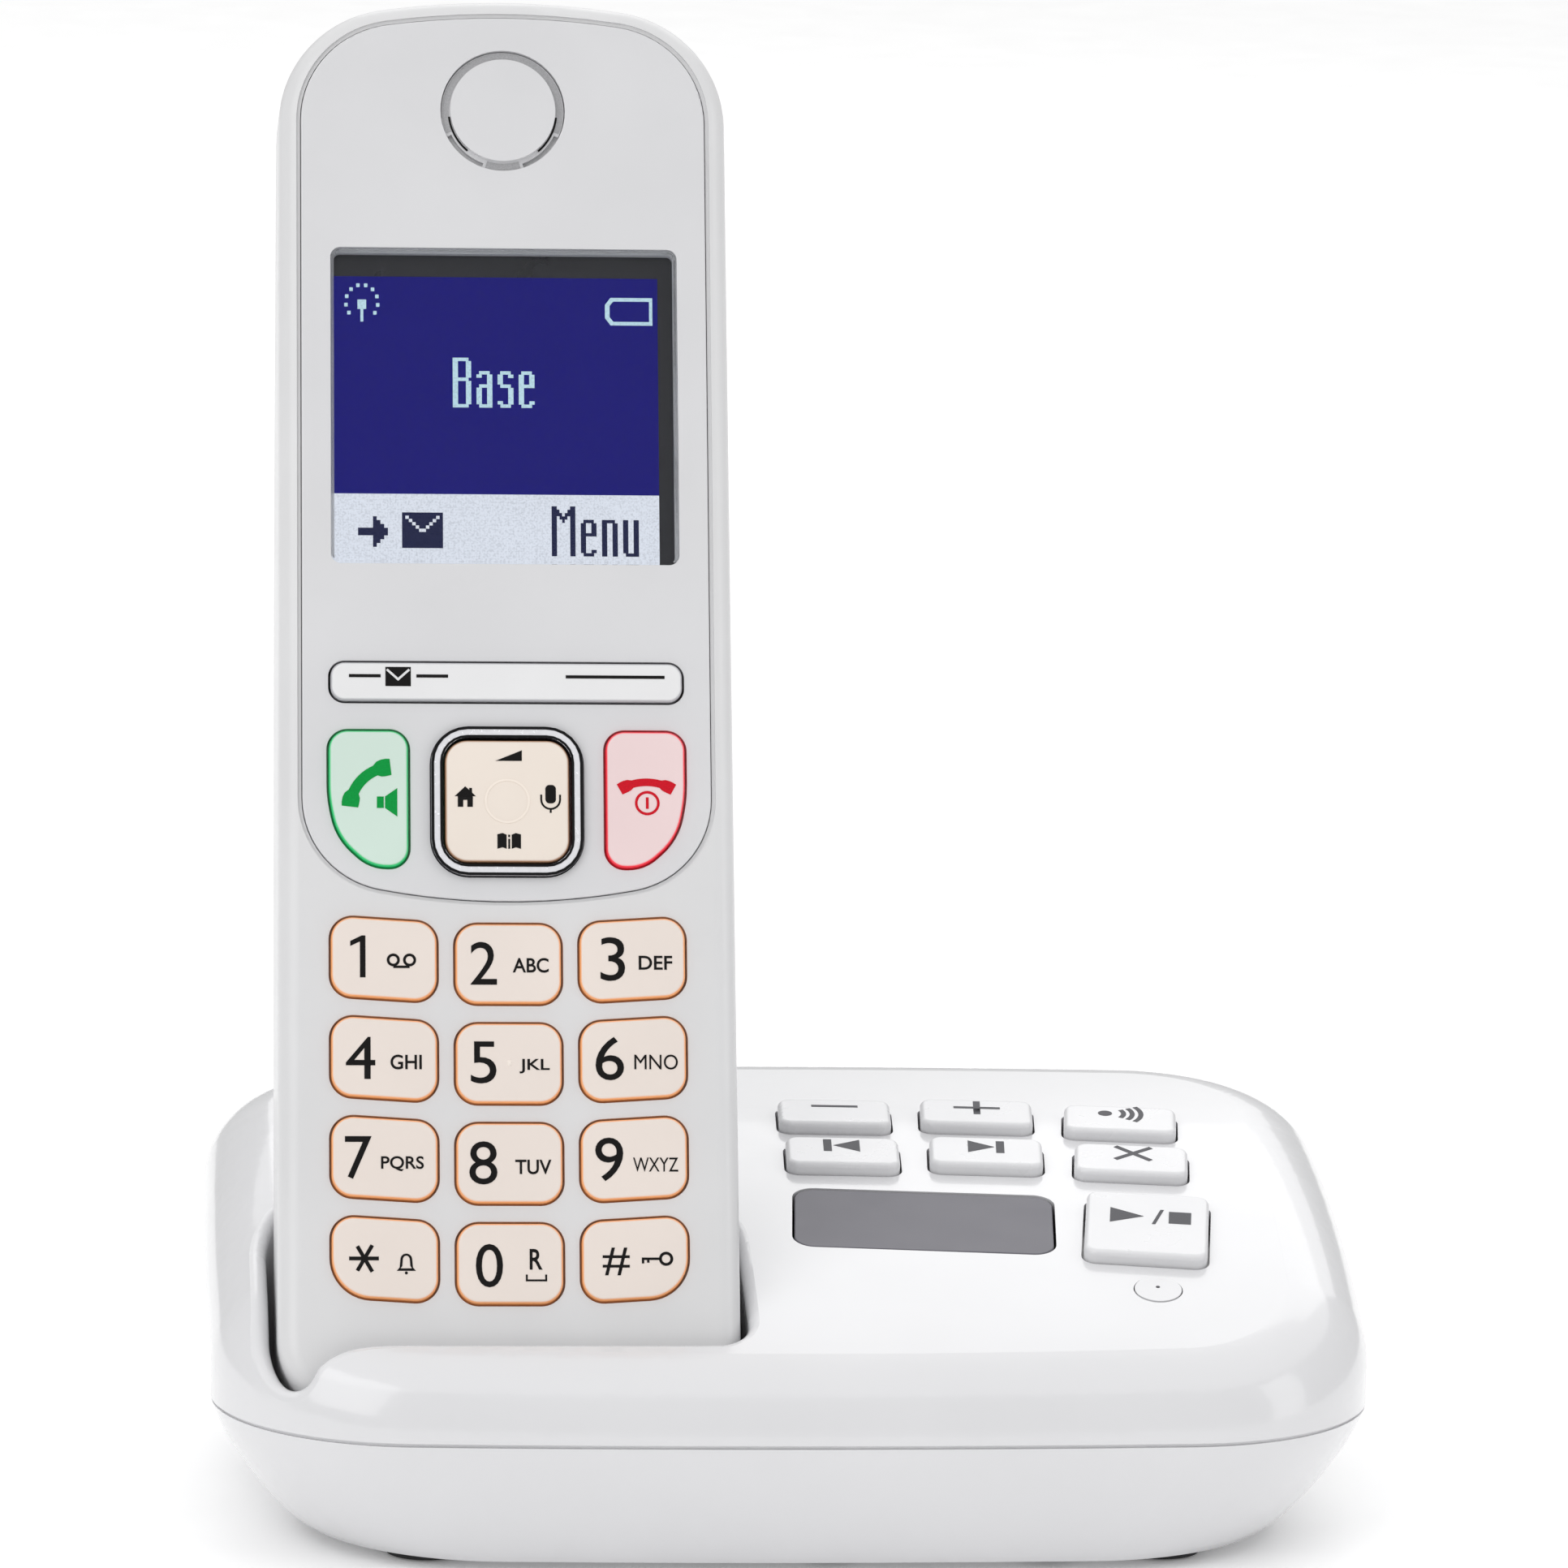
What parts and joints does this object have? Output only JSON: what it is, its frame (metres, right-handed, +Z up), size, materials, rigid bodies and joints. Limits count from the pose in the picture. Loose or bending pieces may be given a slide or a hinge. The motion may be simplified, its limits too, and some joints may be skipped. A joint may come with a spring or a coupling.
{
  "type": "cordless phone with base",
  "caption": "Cordless handset with a small colour display and keypad, leaning back in a rounded base with message keys, a counter window and a charging cradle.",
  "frame": {"origin": "centre of the base's footprint on the surface it stands on", "axes": "+X to the right of the base as seen from its front, +Y to the back, +Z up"},
  "size_m": [0.124, 0.0874, 0.1585],
  "materials": {
    "handset_shell": "satin",
    "face_panel": "semi-gloss",
    "clear_window": "gloss",
    "display_glass": "gloss",
    "dark_metal": "satin",
    "chrome_ring": "polished",
    "silicone_mat": "matt",
    "circuit_board": "matt",
    "cell_jacket": "gloss",
    "spring_steel": "bright",
    "contact_metal": "bright",
    "call_key_green": "satin",
    "end_key_red": "satin",
    "key_cream": "satin",
    "base_shell": "gloss",
    "deck_key": "satin",
    "foot_rubber": "matt",
    "smoked_window": "gloss",
    "socket_plastic": "satin",
    "screw_steel": "bright"
  },
  "bodies": {
    "base": {"base_top_shell": "base_shell", "base_bottom_shell": "base_shell", "base_feet": "foot_rubber", "base_window": "smoked_window", "counter_display": "display_glass", "base_board": "circuit_board", "base_speaker": "dark_metal", "base_key_mat": "silicone_mat", "power_socket": "socket_plastic", "line_socket": "socket_plastic", "base_screws": "screw_steel"},
    "handset": {"handset_front_shell": "handset_shell", "handset_rear_shell": "handset_shell", "face_panel": "face_panel", "display_window": "clear_window", "lcd_module": "display_glass", "earpiece_cap": "face_panel", "earpiece_receiver": "dark_metal", "nav_ring": "chrome_ring", "keypad_mat": "silicone_mat", "handset_board": "circuit_board", "ringer_speaker": "dark_metal", "microphone": "dark_metal", "battery_a": "cell_jacket", "battery_b": "cell_jacket", "battery_springs": "spring_steel", "battery_contacts": "spring_steel", "handset_charge_pads": "contact_metal"},
    "key_1": {"key_1": "key_cream"},
    "key_2": {"key_2": "key_cream"},
    "key_3": {"key_3": "key_cream"},
    "key_4": {"key_4": "key_cream"},
    "key_5": {"key_5": "key_cream"},
    "key_6": {"key_6": "key_cream"},
    "key_7": {"key_7": "key_cream"},
    "key_8": {"key_8": "key_cream"},
    "key_9": {"key_9": "key_cream"},
    "key_star": {"key_star": "key_cream"},
    "key_0": {"key_0": "key_cream"},
    "key_hash": {"key_hash": "key_cream"},
    "call_key": {"call_key": "call_key_green"},
    "end_key": {"end_key": "end_key_red"},
    "softkey_bar": {"softkey_bar": "face_panel"},
    "nav_rocker": {"nav_rocker": "silicone_mat"},
    "nav_key": {"nav_key": "key_cream"},
    "battery_cover": {"battery_cover": "handset_shell"},
    "key_minus": {"key_minus": "deck_key"},
    "key_plus": {"key_plus": "deck_key"},
    "key_page": {"key_page": "deck_key"},
    "key_previous": {"key_previous": "deck_key"},
    "key_next": {"key_next": "deck_key"},
    "key_delete": {"key_delete": "deck_key"},
    "key_play": {"key_play": "deck_key"},
    "key_answer": {"key_answer": "base_shell"},
    "charge_contact_left": {"charge_contact_left": "contact_metal"},
    "charge_contact_right": {"charge_contact_right": "contact_metal"}
  },
  "joints": [
    {"name": "handset_lift", "type": "slide", "parent": "base", "child": "handset", "axis": [0, 0.3811, 0.9245], "range_m": [0, 0.08]},
    {"name": "key_1_press", "type": "slide", "parent": "handset", "child": "key_1", "axis": [0, 0.9245, -0.3811], "range_m": [0, 0.0004], "stiffness_N_per_m": 150, "springref_m": -0.001},
    {"name": "key_2_press", "type": "slide", "parent": "handset", "child": "key_2", "axis": [0, 0.9245, -0.3811], "range_m": [0, 0.0004], "stiffness_N_per_m": 150, "springref_m": -0.001},
    {"name": "key_3_press", "type": "slide", "parent": "handset", "child": "key_3", "axis": [0, 0.9245, -0.3811], "range_m": [0, 0.0004], "stiffness_N_per_m": 150, "springref_m": -0.001},
    {"name": "key_4_press", "type": "slide", "parent": "handset", "child": "key_4", "axis": [0, 0.9245, -0.3811], "range_m": [0, 0.0004], "stiffness_N_per_m": 150, "springref_m": -0.001},
    {"name": "key_5_press", "type": "slide", "parent": "handset", "child": "key_5", "axis": [0, 0.9245, -0.3811], "range_m": [0, 0.0004], "stiffness_N_per_m": 150, "springref_m": -0.001},
    {"name": "key_6_press", "type": "slide", "parent": "handset", "child": "key_6", "axis": [0, 0.9245, -0.3811], "range_m": [0, 0.0004], "stiffness_N_per_m": 150, "springref_m": -0.001},
    {"name": "key_7_press", "type": "slide", "parent": "handset", "child": "key_7", "axis": [0, 0.9245, -0.3811], "range_m": [0, 0.0004], "stiffness_N_per_m": 150, "springref_m": -0.001},
    {"name": "key_8_press", "type": "slide", "parent": "handset", "child": "key_8", "axis": [0, 0.9245, -0.3811], "range_m": [0, 0.0004], "stiffness_N_per_m": 150, "springref_m": -0.001},
    {"name": "key_9_press", "type": "slide", "parent": "handset", "child": "key_9", "axis": [0, 0.9245, -0.3811], "range_m": [0, 0.0004], "stiffness_N_per_m": 150, "springref_m": -0.001},
    {"name": "key_star_press", "type": "slide", "parent": "handset", "child": "key_star", "axis": [0, 0.9245, -0.3811], "range_m": [0, 0.0004], "stiffness_N_per_m": 150, "springref_m": -0.001},
    {"name": "key_0_press", "type": "slide", "parent": "handset", "child": "key_0", "axis": [0, 0.9245, -0.3811], "range_m": [0, 0.0004], "stiffness_N_per_m": 150, "springref_m": -0.001},
    {"name": "key_hash_press", "type": "slide", "parent": "handset", "child": "key_hash", "axis": [0, 0.9245, -0.3811], "range_m": [0, 0.0004], "stiffness_N_per_m": 150, "springref_m": -0.001},
    {"name": "call_key_press", "type": "slide", "parent": "handset", "child": "call_key", "axis": [0, 0.9245, -0.3811], "range_m": [0, 0.0004], "stiffness_N_per_m": 150, "springref_m": -0.001},
    {"name": "end_key_press", "type": "slide", "parent": "handset", "child": "end_key", "axis": [0, 0.9245, -0.3811], "range_m": [0, 0.0004], "stiffness_N_per_m": 150, "springref_m": -0.001},
    {"name": "softkey_rock", "type": "hinge", "parent": "handset", "child": "softkey_bar", "pos_m": [-0.0306, -0.00436, 0.08827], "axis": [0, 0.3811, 0.9245], "range_deg": [-1.2, 1.2], "stiffness_Nm_per_rad": 0.3},
    {"name": "nav_left_right", "type": "hinge", "parent": "handset", "child": "nav_rocker", "pos_m": [-0.0306, -0.00939, 0.07634], "axis": [0, 0.3811, 0.9245], "range_deg": [-2.5, 2.5], "stiffness_Nm_per_rad": 0.1},
    {"name": "nav_up_down", "type": "hinge", "parent": "nav_rocker", "child": "nav_key", "pos_m": [-0.0306, -0.00939, 0.07634], "axis": [1, 0, 0], "range_deg": [-2.5, 2.5], "stiffness_Nm_per_rad": 0.1},
    {"name": "battery_cover_hinge", "type": "hinge", "parent": "handset", "child": "battery_cover", "pos_m": [-0.0306, -0.00224, 0.03835], "axis": [-1, 0, 0], "range_deg": [0, 40]},
    {"name": "key_minus_press", "type": "slide", "parent": "base", "child": "key_minus", "axis": [0, 0.137, -0.9906], "range_m": [0, 0.0006], "stiffness_N_per_m": 150, "springref_m": -0.001},
    {"name": "key_plus_press", "type": "slide", "parent": "base", "child": "key_plus", "axis": [0, 0.137, -0.9906], "range_m": [0, 0.0006], "stiffness_N_per_m": 150, "springref_m": -0.001},
    {"name": "key_page_press", "type": "slide", "parent": "base", "child": "key_page", "axis": [0, 0.1446, -0.9895], "range_m": [0, 0.0006], "stiffness_N_per_m": 150, "springref_m": -0.001},
    {"name": "key_previous_press", "type": "slide", "parent": "base", "child": "key_previous", "axis": [0, 0.1804, -0.9836], "range_m": [0, 0.0006], "stiffness_N_per_m": 150, "springref_m": -0.001},
    {"name": "key_next_press", "type": "slide", "parent": "base", "child": "key_next", "axis": [0, 0.1804, -0.9836], "range_m": [0, 0.0006], "stiffness_N_per_m": 150, "springref_m": -0.001},
    {"name": "key_delete_press", "type": "slide", "parent": "base", "child": "key_delete", "axis": [0, 0.188, -0.9822], "range_m": [0, 0.0006], "stiffness_N_per_m": 150, "springref_m": -0.001},
    {"name": "key_play_press", "type": "slide", "parent": "base", "child": "key_play", "axis": [0, 0.2484, -0.9687], "range_m": [0, 0.0006], "stiffness_N_per_m": 150, "springref_m": -0.001},
    {"name": "key_answer_press", "type": "slide", "parent": "base", "child": "key_answer", "axis": [0, 0.2933, -0.956], "range_m": [0, 0.0004], "stiffness_N_per_m": 150, "springref_m": -0.001},
    {"name": "charge_contact_left_spring", "type": "slide", "parent": "base", "child": "charge_contact_left", "axis": [0, 0.3811, 0.9245], "range_m": [-0.0008, 0], "stiffness_N_per_m": 200, "springref_m": 0.001},
    {"name": "charge_contact_right_spring", "type": "slide", "parent": "base", "child": "charge_contact_right", "axis": [0, 0.3811, 0.9245], "range_m": [-0.0008, 0], "stiffness_N_per_m": 200, "springref_m": 0.001}
  ]
}
